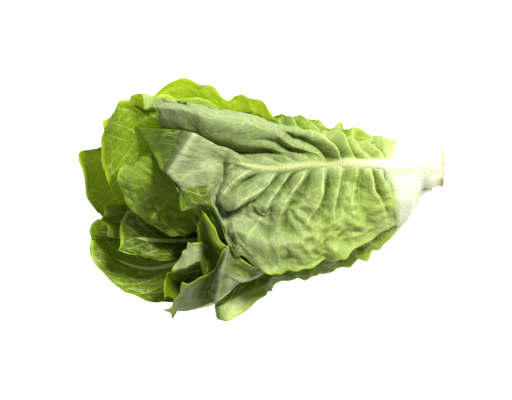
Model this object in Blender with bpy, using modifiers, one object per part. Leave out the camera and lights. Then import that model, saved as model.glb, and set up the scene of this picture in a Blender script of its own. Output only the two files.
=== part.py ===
"""Romaine lettuce head, cut from its root and lying on its side.

A short stem carries 24 leaves in a spiral, the oldest outside. The butt points to +X and the leaf tips to
-X, and the outermost leaf lies on top. Each leaf is one closed solid: a thin blade with a thick midrib on
its outer face. The leaves are laid from the heart outwards, each over what is already there, so that they
nest without touching.

A place on the head is given by a, the distance from the butt; theta, the angle round the head's axis, 0 at
+Y and 90 degrees at +Z; and r, the distance from that axis. A place on a leaf is given by s, from 0 at its
base to 1 at its tip, and v, from -1 to 1 across it. Lengths are in metres.
"""

import collections
import math

import bmesh
import bpy
import numpy as np
from mathutils import Matrix

# The head as a whole: its width swells from the butt to the tips, and its axis bends near the butt.
BUTT_RADIUS = 0.0165
HEAD_HALF_WIDTH = 0.094
SWELL_START = 0.010
SWELL_LENGTH = 0.196
FLATNESS = 0.60
ROUND_LENGTH = 0.120
BUTT_HEIGHT = 0.026
AXIS_RISE = 0.115
BUTT_SHIFT = 0.025
BEND_LENGTH = 0.092
TABLE_SKIN = 0.0012

# The stem: a cone inside the leaf bases.
STEM_LENGTH = 0.088
STEM_TIP_RADIUS = 0.004
STEM_TAPER = 1.2
STEM_POINTS = 9
STEM_CLEARANCE = 1.10

# The spiral of leaves: how many, where the outermost one sits, and the turn from each to the next.
LEAF_COUNT = 24
KIND_COUNT = 8
FIRST_ANGLE = 65.0
SPIRAL_ANGLE = 137.508
FIRST_START = 0.0035
LAST_START = 0.076
HEART_LAYER = 0.16

# A leaf's outline: a base that clasps the stem, a blade that widens, and a rounded tip.
REACH = 0.268
REACH_BELOW = 0.020
REACH_LOST_INSIDE = 0.045
OUTER_HALF_WIDTH = 0.076
WIDTH_LOST_INSIDE = 0.054
CLASP = 0.62
BLADE_FROM = 0.09
BLADE_RISE = 0.59
SHOULDER = 2.4
TIP_FROM = 0.62
TIP_NARROWING = 0.52
TIP_POWER = 2.2
TIP_ROUNDING = 0.17

# A leaf's thickness: an even blade, and a midrib that thins and narrows towards the tip.
BLADE = 0.0009
RIB_BASE = 0.0042
RIB_TIP = 0.0004
RIB_WIDTH_BASE = 0.0070
RIB_WIDTH_TIP = 0.0028
RIB_STARTS_AT = 0.35
RIB_FULL_BY = 0.08
INNER_RIB = 0.15
SLOPE_ALLOWANCE = 1.12

# How the leaves are laid over each other.
GAP = 0.0009
RIBBED_LENGTH = 0.09
CLASPED_LENGTH = 0.045
SMOOTHINGS = 20
CURL_ANGLE = 1.2

# The lattice that holds the head's shape: stations along it, close together at the butt, and angles round it.
STATIONS = 92
STATION_SPREAD = 0.0146
STATION_SCALE = 0.120
STATION_BACK = 0.008
ANGLES = 90
FULL_TURN = 2 * math.pi

# The grid of each kind of leaf, along it and across it, and how its rows and columns gather at base and rib.
ROWS = {"outer": 13, "middle": 12, "heart": 10}
COLUMNS = {"outer": 12, "middle": 10, "heart": 8}
ROW_GATHER = 1.35
COLUMN_GATHER = 1.25
WIDEST_FACET = 1.2

GREENS = {
    "outer": (0.28, 0.36, 0.09, 1.0),
    "middle": (0.20, 0.30, 0.03, 1.0),
    "heart": (0.38, 0.46, 0.13, 1.0),
}
STEM_COLOUR = (0.80, 0.78, 0.58, 1.0)
LEAF_ROUGHNESS = 0.45
STEM_ROUGHNESS = 0.50

Leaf = collections.namedtuple(
    "Leaf", "name kind angle start reach half_width skew shoulder layer flare curl"
)

# The leaves that show most, outermost first, where they differ from the spiral's rule. turn is in degrees;
# reach, half_width, flare (how far the tip leans out) and curl (how far the margins lift) are in metres.
SHAPED = {
    0: dict(reach=0.246, half_width=0.090, skew=0.20, shoulder=3.2, curl=0.002),
    1: dict(reach=0.236, half_width=0.080, skew=-0.05, flare=0.016, curl=0.003),
    2: dict(reach=0.252, half_width=0.078, flare=0.014, curl=0.004),
    3: dict(turn=8, reach=0.218, half_width=0.074, flare=-0.004),
    4: dict(turn=22, reach=0.296, half_width=0.080, flare=0.004),
    5: dict(reach=0.232, half_width=0.070, flare=0.002),
    6: dict(reach=0.238, half_width=0.072, flare=0.004),
    7: dict(turn=20, reach=0.284, half_width=0.084, flare=0.010),
    8: dict(turn=18, reach=0.268, half_width=0.066, flare=-0.010),
    9: dict(turn=6, reach=0.290, half_width=0.080, flare=0.010, layer=0.84),
    12: dict(turn=-26, reach=0.264, half_width=0.060),
}


def smoothstep(x):
    x = np.clip(x, 0.0, 1.0)
    return x * x * (3.0 - 2.0 * x)


def axis_y(a):
    """The butt stands off to +Y, and the axis bends back to the middle."""
    return BUTT_SHIFT * (1.0 - smoothstep(a / BEND_LENGTH))


def axis_z(a):
    """The axis rises from the butt, because the head is thicker towards its tips."""
    return BUTT_HEIGHT + AXIS_RISE * np.maximum(a, 0.0)


def point_at(a, theta, r):
    return np.stack([-a, axis_y(a) + r * np.cos(theta), axis_z(a) + r * np.sin(theta)], axis=-1)


def half_width(a):
    """Half the head's width: the butt's radius, then a swelling that is part straight and part rounded."""
    u = np.clip((a - SWELL_START) / SWELL_LENGTH, 0.0, 1.0)
    return BUTT_RADIUS + (HEAD_HALF_WIDTH - BUTT_RADIUS) * 0.5 * (u + np.sin(u * math.pi / 2))


def envelope(a, theta):
    """Radius of the whole head: an ellipse, cut flat by the surface that it lies on."""
    wide = half_width(a)
    high = wide * (1.0 - (1.0 - FLATNESS) * smoothstep(a / ROUND_LENGTH))
    ellipse = 1.0 / np.sqrt((np.cos(theta) / wide) ** 2 + (np.sin(theta) / high) ** 2)
    down = np.maximum(-np.sin(theta), 1e-3)
    return np.minimum(ellipse, (axis_z(a) - TABLE_SKIN) / down)


def stem_radius(a):
    t = np.clip(a / STEM_LENGTH, 0.0, 1.0)
    return STEM_TIP_RADIUS + (BUTT_RADIUS - STEM_TIP_RADIUS) * (1.0 - t) ** STEM_TAPER


def leaf_plan(k):
    """Leaf k, counted inwards from the outermost. Leaves below the axis reach further than those above."""
    shaped = SHAPED.get(k, {})
    kind = ("outer", "middle", "heart")[k // KIND_COUNT]
    depth = k / (LEAF_COUNT - 1)
    angle = math.radians(FIRST_ANGLE + SPIRAL_ANGLE * k + shaped.get("turn", 0.0))
    plan = dict(
        start=FIRST_START + (LAST_START - FIRST_START) * depth,
        reach=REACH - REACH_BELOW * math.sin(angle) - REACH_LOST_INSIDE * depth**2,
        half_width=OUTER_HALF_WIDTH - WIDTH_LOST_INSIDE * depth**0.7,
        skew=0.0,
        shoulder=SHOULDER,
        layer=1.0 - (1.0 - HEART_LAYER) * depth,
        flare=0.0,
        curl=0.0,
    )
    plan.update({key: value for key, value in shaped.items() if key != "turn"})
    return Leaf(f"{kind}_leaf_{k % KIND_COUNT + 1}", kind, angle, **plan)


def stations():
    i = np.arange(STATIONS)
    return STATION_SCALE * (np.exp(STATION_SPREAD * i) - 1.0) - STATION_BACK


def lattice_place(a, theta):
    """Where a and theta fall on the lattice, in steps."""
    i = np.log1p((a + STATION_BACK) / STATION_SCALE) / STATION_SPREAD
    j = np.mod(theta, FULL_TURN) * ANGLES / FULL_TURN
    return np.clip(i, 0.0, STATIONS - 1.001), j


def sample(field, a, theta):
    """Reads the field between the lattice's points."""
    i, j = lattice_place(a, theta)
    i0 = i.astype(int)
    j0 = np.floor(j).astype(int) % ANGLES
    j1 = (j0 + 1) % ANGLES
    fi = i - i0
    fj = j - np.floor(j)
    near = field[i0, j0] * (1 - fj) + field[i0, j1] * fj
    far = field[i0 + 1, j0] * (1 - fj) + field[i0 + 1, j1] * fj
    return near * (1 - fi) + far * fi


def beside_along(field):
    """The field moved one station each way."""
    padded = np.pad(field, ((1, 1), (0, 0)), mode="edge")
    return padded[:-2], padded[2:]


def beside_around(field):
    """The field turned one angle each way."""
    return np.roll(field, 1, 1), np.roll(field, -1, 1)


def grown(field, times):
    """Each place takes the highest value within so many places of it."""
    for _ in range(times):
        field = np.maximum.reduce([field, *beside_along(field)])
        field = np.maximum.reduce([field, *beside_around(field)])
    return field


def smoothed(field, floor, ease):
    """Evens the field out, less where the leaf clasps the stem, and never lets it sink below the floor."""
    for _ in range(SMOOTHINGS):
        evened = 0.4 * field + 0.15 * sum((*beside_along(field), *beside_around(field)))
        field = np.maximum(floor, field + ease * (evened - field))
    return field


def width_at(leaf, s):
    """Half the leaf's width at s."""
    base = CLASP * stem_radius(leaf.start)
    x = np.clip((s - BLADE_FROM) / BLADE_RISE, 0.0, 1.0)
    rise = 1.0 - (1.0 - x) ** leaf.shoulder
    tip = 1.0 - TIP_NARROWING * np.clip((s - TIP_FROM) / (1.0 - TIP_FROM), 0.0, 1.0) ** TIP_POWER
    return (base + (leaf.half_width - base) * rise) * tip


def place(leaf, s, v):
    """a and theta of a place on the leaf. The tip row is an arc, so that the tip is round."""
    a = leaf.start + (leaf.reach - leaf.start) * (s - TIP_ROUNDING * s**3 * v**2)
    layer_radius = leaf.layer * half_width(a) * math.sqrt(FLATNESS)
    core_radius = 0.5 * (1.0 - leaf.layer) * stem_radius(a)
    around = np.maximum(layer_radius + core_radius, stem_radius(leaf.start))
    return a, leaf.angle + width_at(leaf, s) * (v + leaf.skew * v**2) / around


def thickness(leaf, s, v):
    """Blade and midrib together. The midrib is thick and wide at the base, and runs out at the tip."""
    rib = RIB_TIP + (RIB_BASE - RIB_TIP) * (1.0 - s) ** 1.6 * (INNER_RIB + (1.0 - INNER_RIB) * leaf.layer)
    rib = rib * (RIB_STARTS_AT + (1.0 - RIB_STARTS_AT) * smoothstep(s / RIB_FULL_BY))
    spread = RIB_WIDTH_TIP + (RIB_WIDTH_BASE - RIB_WIDTH_TIP) * (1.0 - s) ** 1.5
    return BLADE + rib * np.exp(-((width_at(leaf, s) * v / spread) ** 2))


def lay(leaf, taken, a, theta):
    """The field of the leaf's inner face: its own layer of the head, or just over what is taken.

    A flat facet dips under the curve that its corners lie on by width squared over eight radii, so the
    floor is raised by that much.
    """
    s = np.clip((a - leaf.start) / (leaf.reach - leaf.start), 0.0, 1.0)
    turned = (theta - leaf.angle + math.pi) % FULL_TURN - math.pi
    lift = np.clip(np.abs(turned) / CURL_ANGLE, 0.0, 1.0) ** 3
    wanted = leaf.layer * envelope(a, theta) + leaf.flare * s**3 + leaf.curl * s * lift
    facet = WIDEST_FACET * 2.0 * width_at(leaf, s) / COLUMNS[leaf.kind]
    dip = facet**2 / (8.0 * np.maximum(taken, STEM_TIP_RADIUS))
    floor = np.where(a < RIBBED_LENGTH, grown(taken, 2), grown(taken, 1)) + GAP + dip
    return smoothed(np.maximum(wanted, floor), floor, smoothstep(a / CLASPED_LENGTH))


def cover(leaf, field, taken):
    """Marks the leaf's outer face as taken, in a footprint one place wider than the leaf."""
    s = np.linspace(0.0, 1.0, 3 * STATIONS)[:, None]
    v = np.linspace(-1.0, 1.0, 3 * ANGLES)[None, :]
    i, j = lattice_place(*place(leaf, s, v))
    cells = np.rint(i).astype(int), np.rint(j).astype(int) % ANGLES
    thick = np.zeros_like(field)
    np.maximum.at(thick, cells, thickness(leaf, s, v))
    thick = grown(thick, 1)
    return np.where(thick > 0.0, np.maximum(taken, field + SLOPE_ALLOWANCE * thick), taken)


def material(name, colour, roughness):
    made = bpy.data.materials.new(name)
    made.use_nodes = True
    shader = made.node_tree.nodes["Principled BSDF"]
    shader.inputs["Base Color"].default_value = colour
    shader.inputs["Roughness"].default_value = roughness
    shader.inputs["Metallic"].default_value = 0.0
    return made


def add_object(name, data, collection, finish):
    piece = bpy.data.objects.new(name, data)
    collection.objects.link(piece)
    data.materials.append(finish)
    return piece


def make_leaf(leaf, field, collection):
    """A grid bent over the head, and a Solidify that gives it its blade and its midrib."""
    shape = bmesh.new()
    bmesh.ops.create_grid(shape, x_segments=ROWS[leaf.kind], y_segments=COLUMNS[leaf.kind], size=1.0)
    grid = np.array([vertex.co[:2] for vertex in shape.verts])
    s = ((grid[:, 0] + 1.0) / 2.0) ** ROW_GATHER
    v = np.sign(grid[:, 1]) * np.abs(grid[:, 1]) ** COLUMN_GATHER
    a, theta = place(leaf, s, v)
    for vertex, point in zip(shape.verts, point_at(a, theta, sample(field, a, theta))):
        vertex.co = point
    bmesh.ops.reverse_faces(shape, faces=shape.faces)
    mesh = bpy.data.meshes.new(leaf.name)
    shape.to_mesh(mesh)
    shape.free()
    mesh.shade_smooth()
    piece = add_object(leaf.name, mesh, collection, material(leaf.name, GREENS[leaf.kind], LEAF_ROUGHNESS))
    thick = thickness(leaf, s, v)
    ribs = piece.vertex_groups.new(name="thickness")
    for index, weight in enumerate(thick / thick.max()):
        ribs.add([index], float(weight), "REPLACE")
    shell = piece.modifiers.new("blade_and_midrib", "SOLIDIFY")
    shell.thickness = float(thick.max())
    shell.offset = 1.0
    shell.vertex_group = ribs.name
    return piece


def make_stem(collection):
    """A round bar along the head's axis, thinning upwards, with flat ends."""
    a = np.linspace(0.0, STEM_LENGTH, STEM_POINTS)
    curve = bpy.data.curves.new("stem", "CURVE")
    curve.dimensions = "3D"
    curve.bevel_depth = 1.0
    curve.bevel_resolution = 6
    curve.use_fill_caps = True
    line = curve.splines.new("POLY")
    line.points.add(STEM_POINTS - 1)
    for point, centre, radius in zip(line.points, point_at(a, 0.0, 0.0), stem_radius(a)):
        point.co = (*centre, 1.0)
        point.radius = radius
    return add_object("stem", curve, collection, material("stem", STEM_COLOUR, STEM_ROUGHNESS))


def stand_on_origin(pieces):
    """Moves every piece so that the middle of the head's underside is the origin."""
    bpy.context.view_layer.update()
    graph = bpy.context.evaluated_depsgraph_get()
    points = []
    for piece in pieces:
        evaluated = piece.evaluated_get(graph)
        points += [tuple(vertex.co) for vertex in evaluated.to_mesh().vertices]
        evaluated.to_mesh_clear()
    low = np.min(points, axis=0)
    high = np.max(points, axis=0)
    shift = (-(low[0] + high[0]) / 2, -(low[1] + high[1]) / 2, -low[2])
    for piece in pieces:
        piece.data.transform(Matrix.Translation(shift))


def main():
    for old in list(bpy.data.objects):
        bpy.data.objects.remove(old, do_unlink=True)
    collection = bpy.data.collections.new("romaine_lettuce_head")
    bpy.context.scene.collection.children.link(collection)
    angles = np.arange(ANGLES) * FULL_TURN / ANGLES
    a, theta = np.meshgrid(stations(), angles, indexing="ij")
    taken = np.where(a < STEM_LENGTH, STEM_CLEARANCE * stem_radius(a), 0.0)
    pieces = [make_stem(collection)]
    for k in reversed(range(LEAF_COUNT)):
        leaf = leaf_plan(k)
        field = lay(leaf, taken, a, theta)
        taken = cover(leaf, field, taken)
        pieces.append(make_leaf(leaf, field, collection))
    stand_on_origin(pieces)


main()
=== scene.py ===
# %% [markdown]
# # A romaine lettuce head
#
# A romaine head is a short white stem that carries about two dozen leaves in a spiral. It lies here on its
# side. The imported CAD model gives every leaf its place, as a smooth stand-in. This lesson lays each leaf
# again on the same head, finely enough for veins, pleats, blisters and ruffled margins, and gives it a
# finish. It could be sculpted by hand or draped by cloth simulation. Numpy surfaces were chosen, because
# every leaf then follows the same few rules, and the script gives the same head each time.
#
# Two sets of coordinates are used. A place on the head is a, the distance from the butt; theta, the angle
# round the head's axis, 0 at +Y and 90 degrees at +Z; and r, the distance from that axis. A place on a leaf
# is s, from 0 at its base to 1 at its tip, and v, from -1 to 1 across it. Lengths are in metres.

# %% Loading the frame
import collections
import math

import bpy
import mathutils
import numpy as np
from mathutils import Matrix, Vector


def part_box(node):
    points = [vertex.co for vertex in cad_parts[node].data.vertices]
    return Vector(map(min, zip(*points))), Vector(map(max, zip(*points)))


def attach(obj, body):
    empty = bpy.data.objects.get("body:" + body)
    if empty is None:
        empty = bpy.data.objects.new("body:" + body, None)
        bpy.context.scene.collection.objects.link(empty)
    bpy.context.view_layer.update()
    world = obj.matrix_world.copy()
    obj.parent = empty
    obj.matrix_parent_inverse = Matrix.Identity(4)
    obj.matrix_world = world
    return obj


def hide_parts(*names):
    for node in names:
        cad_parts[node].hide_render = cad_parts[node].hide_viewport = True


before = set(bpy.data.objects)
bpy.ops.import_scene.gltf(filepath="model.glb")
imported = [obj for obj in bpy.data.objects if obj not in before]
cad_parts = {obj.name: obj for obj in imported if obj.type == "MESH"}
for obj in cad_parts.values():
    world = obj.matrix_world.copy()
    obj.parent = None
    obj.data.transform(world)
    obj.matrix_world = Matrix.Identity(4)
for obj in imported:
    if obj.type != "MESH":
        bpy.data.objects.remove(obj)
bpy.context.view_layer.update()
MM = 0.001
FULL_TURN = 2 * math.pi

# %% [markdown]
# ## The head as a whole
#
# The head is narrow at the butt and swells towards its tips. Lying down, it settles into an ellipse that
# the table cuts flat. Its axis bends near the butt, which stands off to one side. These are the CAD's own
# formulas, so that the fine leaves land where the solid ones are. The stem's box says where the butt is.

# %% The head's shape
BUTT_RADIUS = 0.0165
HEAD_HALF_WIDTH = 0.094
SWELL_START = 0.010
SWELL_LENGTH = 0.196
FLATNESS = 0.60
ROUND_LENGTH = 0.120
BUTT_HEIGHT = 0.026
AXIS_RISE = 0.115
BUTT_SHIFT = 0.025
BEND_LENGTH = 0.092
TABLE_SKIN = 0.0012
STEM_LENGTH = 0.088
STEM_TIP_RADIUS = 0.004
STEM_TAPER = 1.2

stem_low, stem_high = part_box("stem")
BUTT_TILT = math.atan(AXIS_RISE)
ORIGIN = np.array([
    stem_high.x - BUTT_RADIUS * math.sin(BUTT_TILT),
    stem_high.y - BUTT_RADIUS - BUTT_SHIFT,
    stem_low.z + BUTT_RADIUS * math.cos(BUTT_TILT) - BUTT_HEIGHT,
])
print("middle of the butt in mm:", np.round((ORIGIN + [0, BUTT_SHIFT, BUTT_HEIGHT]) / MM, 1))


def smoothstep(x, low=0.0, high=1.0):
    """0 up to low, 1 from high on, and an S-shaped rise between them: 3 t squared less 2 t cubed."""
    t = np.clip((x - low) / (high - low), 0.0, 1.0)
    return t * t * (3.0 - 2.0 * t)


def axis_y(a):
    """The butt stands off to +Y, and the axis bends back to the middle."""
    return BUTT_SHIFT * (1.0 - smoothstep(a / BEND_LENGTH))


def axis_z(a):
    """The axis rises from the butt in proportion to a."""
    return BUTT_HEIGHT + AXIS_RISE * np.maximum(a, 0.0)


def point_at(a, theta, r):
    """The point at distance r from the axis, in the direction theta, at a along the head."""
    y = axis_y(a) + r * np.cos(theta)
    z = axis_z(a) + r * np.sin(theta)
    return np.stack(np.broadcast_arrays(-a, y, z), axis=-1) + ORIGIN


def half_width(a):
    """Half the head's width: the butt's radius, then the mean of a straight and a sine rise."""
    u = np.clip((a - SWELL_START) / SWELL_LENGTH, 0.0, 1.0)
    return BUTT_RADIUS + (HEAD_HALF_WIDTH - BUTT_RADIUS) * 0.5 * (u + np.sin(u * math.pi / 2))


def envelope(a, theta):
    """Radius of the whole head: an ellipse, or the distance down to the table where that is less."""
    wide = half_width(a)
    high = wide * (1.0 - (1.0 - FLATNESS) * smoothstep(a / ROUND_LENGTH))
    ellipse = 1.0 / np.sqrt((np.cos(theta) / wide) ** 2 + (np.sin(theta) / high) ** 2)
    return np.minimum(ellipse, (axis_z(a) - TABLE_SKIN) / np.maximum(-np.sin(theta), 1e-3))


def stem_radius(a):
    """A cone with a slightly hollow side: the radius falls as the taper's power of what is left of it."""
    t = np.clip(a / STEM_LENGTH, 0.0, 1.0)
    return STEM_TIP_RADIUS + (BUTT_RADIUS - STEM_TIP_RADIUS) * (1.0 - t) ** STEM_TAPER


# %% [markdown]
# ## The leaves' places
#
# Each leaf grows 137.5 degrees round from the last one, as in most rosettes. The plan below is the CAD's:
# where a leaf starts, how far it reaches, how wide it is and which layer of the head it lies in. Leaves
# that show most have a few values of their own, and a few inner ones are shorter here than in the CAD, so
# that they stay hidden, or end in a small tip that shows. Placing every leaf by hand would also work, but
# the spiral gives the hidden ones for nothing.
#
# turn moves a leaf round from its place on the spiral, in degrees. skew makes one side wider, shoulder is
# how suddenly the blade widens, flare and curl lift the tip and the margins, and detail is the number of
# cells along and across. rib is where the midrib fades out. bloom is how dull the outer face is, and glow
# how much light the blade lets through. dent is the blisters' depth, where a negative one bulges outwards,
# pleats is the height of the folds between the veins, frill is how ragged the margin is, and shade makes
# the green deeper. That deeper green is partly a leaf's own tone and partly painted shade on leaves that lie
# in the shadow of others; a negative shade, on leaf 8, is painted light on a leaf that lies in shade.

# %% The plan of the leaves
LEAF_COUNT = 24
SPIRAL_ANGLE = 137.508
FIRST_ANGLE = 65.0
HEART_LAYER = 0.16

Leaf = collections.namedtuple(
    "Leaf",
    "number node slot angle start reach half_width skew shoulder layer flare curl rib bloom glow dent "
    "pleats frill shade detail",
)
SHAPED = {
    0: dict(reach=0.246, half_width=0.090, skew=0.20, shoulder=3.2, curl=0.002, rib=0.74, glow=0.26, dent=0.7,
            pleats=0.0115),
    1: dict(reach=0.236, half_width=0.080, skew=-0.05, flare=0.016, curl=0.003, bloom=0.7, glow=0.34,
            dent=0.25, pleats=0.0015),
    2: dict(reach=0.252, half_width=0.078, flare=0.014, curl=0.004, glow=0.56),
    3: dict(turn=8, reach=0.218, half_width=0.074, flare=-0.004, bloom=0.1, glow=0.50, frill=2.5, shade=0.3),
    4: dict(turn=22, reach=0.296, half_width=0.080, flare=0.004, rib=0.6, glow=0.34, shade=0.3),
    5: dict(reach=0.232, half_width=0.070, flare=0.002, glow=0.55, frill=2.5, bloom=0.4, shade=0.3),
    6: dict(reach=0.238, half_width=0.072, flare=0.004, glow=0.30, dent=0.3, pleats=0.001),
    7: dict(turn=20, reach=0.284, half_width=0.084, flare=0.010, rib=0.5, glow=0.50),
    # Leaf 8's negative shade lightens it as painted light, where it lies in the shade of leaf 0's folded tip.
    8: dict(turn=18, reach=0.268, half_width=0.066, flare=-0.010, rib=0.5, bloom=0.3, glow=0.52, dent=-2.3,
            shade=-0.25),
    # Leaf 9's shade of 0.8 is partly painted shade, where it lies in the shadow of leaf 1.
    9: dict(turn=6, reach=0.290, half_width=0.080, flare=0.010, layer=0.84, glow=0.22, bloom=0.0, shade=0.8),
    10: dict(rib=0.5, glow=0.50),
    11: dict(reach=0.200, rib=0.5, bloom=0.1, glow=0.6, dent=-1.0),
    12: dict(turn=-26, reach=0.264, half_width=0.060, glow=0.22, shade=0.4),
    13: dict(turn=-80, reach=0.285, half_width=0.034, bloom=0.2, glow=0.55),
    14: dict(reach=0.215, rib=0.5, glow=0.55),
    15: dict(turn=0, reach=0.270, half_width=0.034, bloom=0.3, shade=0.4),
    16: dict(reach=0.205),
    17: dict(reach=0.270, half_width=0.032, glow=0.55),
    19: dict(reach=0.200),
    20: dict(reach=0.225),
    22: dict(reach=0.210),
}
HIDDEN_CELLS = (60, 44)
CELLS = {0: (220, 156), 5: (110, 90), 12: (120, 80)}
CELLS.update({k: (150, 100) for k in (1, 2, 3, 4, 6, 7, 8, 9)})


def leaf_plan(k):
    """Leaf k, counted inwards. Its values run evenly from the outermost leaf's to the innermost one's."""
    shaped = SHAPED.get(k, {})
    slot = ("outer_leaf", "middle_leaf", "heart_leaf")[k // 8]
    depth = k / (LEAF_COUNT - 1)
    angle = math.radians(FIRST_ANGLE + SPIRAL_ANGLE * k + shaped.get("turn", 0.0))
    plan = dict(
        start=0.0035 + 0.0725 * depth,
        reach=0.268 - 0.020 * math.sin(angle) - 0.045 * depth**2,
        half_width=0.076 - 0.054 * depth**0.7,
        skew=0.0,
        shoulder=2.4,
        layer=1.0 - (1.0 - HEART_LAYER) * depth,
        flare=0.0,
        curl=0.0,
        rib=0.9,
        bloom=1.0,
        glow=0.36,
        dent=1.0,
        pleats=0.0050,
        frill=1.0,
        shade=0.0,
        detail=CELLS.get(k, HIDDEN_CELLS),
    )
    plan.update({key: value for key, value in shaped.items() if key != "turn"})
    return Leaf(k, f"{slot}_{k % 8 + 1}", slot, angle, **plan)


LEAVES = [leaf_plan(k) for k in range(LEAF_COUNT)]
print("leaves:", len(LEAVES), "cells:", sum(leaf.detail[0] * leaf.detail[1] for leaf in LEAVES))


def width_at(leaf, s):
    """Half the leaf's width: a clasping base, a blade that widens at once, and a tip that narrows."""
    base = 0.85 * stem_radius(leaf.start)
    x = np.clip((s - 0.09) / 0.59, 0.0, 1.0)
    tip = 1.0 - 0.46 * np.clip((s - 0.62) / 0.38, 0.0, 1.0) ** 2.2
    return (base + (leaf.half_width - base) * (1.0 - (1.0 - x) ** leaf.shoulder)) * tip


def place(leaf, s, v):
    """a and theta of a place on the leaf. The tip row is an arc, and the width is wrapped round the layer."""
    a = leaf.start + (leaf.reach - leaf.start) * (s - s**3 * (0.05 * v**2 + 0.10 * v**4))
    around = leaf.layer * half_width(a) * math.sqrt(FLATNESS) + 0.5 * (1.0 - leaf.layer) * stem_radius(a)
    around = np.maximum(around, stem_radius(leaf.start))
    return a, leaf.angle + width_at(leaf, s) * (v + leaf.skew * v**2) / around


# %% [markdown]
# ## Laying leaf over leaf
#
# Leaves press on each other and don't pass through. A cloth solver could find that rest, slowly. Here a
# lattice wrapped round the head keeps how far out it is already taken. The heart leaves are laid first.
# Each further leaf takes the shape that it wants or the outside of what is there, whichever is further
# out, evened like stretched skin. Then its own outer face is marked as taken.

# %% The lattice
STATIONS = 184
ANGLES = 240
STATION_SPREAD = 0.0073
STATION_SCALE = 0.120
STATION_BACK = 0.008
GAP = 0.0007
SMOOTHINGS = 70
FREE_FROM = 0.045
CURL_FROM = 1.2


def stations():
    """Distances along the head, close together at the butt: each step is the same share of a + 112 mm."""
    return STATION_SCALE * (np.exp(STATION_SPREAD * np.arange(STATIONS)) - 1.0) - STATION_BACK


def lattice_place(a, theta):
    """Where a and theta fall on the lattice, in steps."""
    i = np.log1p((a + STATION_BACK) / STATION_SCALE) / STATION_SPREAD
    return np.clip(i, 0.0, STATIONS - 1.001), np.mod(theta, FULL_TURN) * ANGLES / FULL_TURN


def cubic_weights(f):
    """Catmull-Rom weights of the four values round a place, f of the way from the second to the third."""
    return (
        ((2.0 - f) * f - 1.0) * f / 2.0,
        ((3.0 * f - 5.0) * f * f + 2.0) / 2.0,
        ((4.0 - 3.0 * f) * f + 1.0) * f / 2.0,
        (f - 1.0) * f * f / 2.0,
    )


def sample(grid, i, j, round_and_round=False, crease=0.0):
    """Reads a grid at fractional rows and columns: a Catmull-Rom curve each way.

    Where crease is 1 the curves are straight lines from value to value, so folds are sharp there.
    """
    i0, j0 = np.floor(i).astype(int), np.floor(j).astype(int)
    rows, columns = grid.shape[:2]

    def weights(f):
        straight = (0.0, 1.0 - f, f, 0.0)
        return [c + crease * (line - c) for c, line in zip(cubic_weights(f), straight)]

    total = 0.0
    for di, wi in zip((-1, 0, 1, 2), weights(i - i0)):
        row = np.clip(i0 + di, 0, rows - 1)
        for dj, wj in zip((-1, 0, 1, 2), weights(j - j0)):
            column = (j0 + dj) % columns if round_and_round else np.clip(j0 + dj, 0, columns - 1)
            weight = wi * wj
            total = total + grid[row, column] * (weight[..., None] if grid.ndim == 3 else weight)
    return total


def read(field, a, theta):
    """The lattice field at a and theta."""
    return sample(field, *lattice_place(a, theta), round_and_round=True)


def beside(field):
    """The field moved one station each way and turned one angle each way."""
    padded = np.pad(field, ((1, 1), (0, 0)), mode="edge")
    return padded[:-2], padded[2:], np.roll(field, 1, 1), np.roll(field, -1, 1)


def grown(field, times):
    """Each place takes the highest value within so many steps of it."""
    for _ in range(times):
        field = np.maximum.reduce([field, *beside(field)])
    return field


def evened(field, floor, ease, times):
    """Moves each place part of the way to the mean of its neighbours, and never below the floor."""
    for _ in range(times):
        field = np.maximum(floor, field + ease * 0.6 * (sum(beside(field)) / 4.0 - field))
    return field


lattice_a, lattice_theta = np.meshgrid(stations(), np.arange(ANGLES) * FULL_TURN / ANGLES, indexing="ij")
print("lattice steps along, mm:", np.round(np.diff(stations())[[0, -1]] / MM, 2))


def lay(leaf, taken):
    """The field of the leaf's inner face: its own layer of the head, or just over what is taken.

    It is evened fully from FREE_FROM on. The margins lift as the cube of how far round they are. The second
    field is how far the blade may dent before it meets what is inside.
    """
    a, theta = lattice_a, lattice_theta
    s = np.clip((a - leaf.start) / (leaf.reach - leaf.start), 0.0, 1.0)
    turned = (theta - leaf.angle + math.pi) % FULL_TURN - math.pi
    lift = np.clip(np.abs(turned) / CURL_FROM, 0.0, 1.0) ** 3
    wanted = leaf.layer * envelope(a, theta) + leaf.flare * s**3 + leaf.curl * s * lift
    floor = grown(taken, 2) + GAP
    field = evened(np.maximum(wanted, floor), floor, smoothstep(a / FREE_FROM), SMOOTHINGS)
    return field, field - floor + 0.5 * GAP


def mark(taken, points):
    """Marks as taken how far out the leaf reaches, wherever it has a point."""
    a, y, z = -(points - ORIGIN)[..., 0], (points - ORIGIN)[..., 1], (points - ORIGIN)[..., 2]
    r = np.hypot(y - axis_y(a), z - axis_z(a))
    i, j = lattice_place(a, np.arctan2(z - axis_z(a), y - axis_y(a)))
    cells = np.rint(i).astype(int), np.rint(j).astype(int) % ANGLES
    reached = np.zeros_like(taken)
    np.maximum.at(reached, cells, r)
    return np.maximum(taken, grown(reached, 1))


# %% [markdown]
# ## Veins, pleats, blisters and ruffles
#
# A romaine leaf isn't smooth. Lateral veins leave the midrib and sweep towards the tip, and the blade
# is pleated between them. Further out a net of small veins holds the blade in blisters, and the margin is
# longer than it needs to be, so it waves. Image textures or sculpting could give this. Each feature is
# instead a height over the leaf's own plane, so that it follows the leaf through every bend and fold.

# %% Noise on the leaf's plane
TILE = 64


def waves(x, y, length, seed, count=7):
    """Smooth noise between about -1 and 1: plane waves of about one length in many directions, summed."""
    rng = np.random.default_rng(seed)
    total = 0.0
    for _ in range(count):
        turn, phase = rng.uniform(0.0, FULL_TURN, 2)
        number = FULL_TURN / (length * rng.uniform(0.75, 1.35))
        total = total + np.sin(number * (x * math.cos(turn) + y * math.sin(turn)) + phase)
    return total / math.sqrt(count) / 1.3


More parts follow.
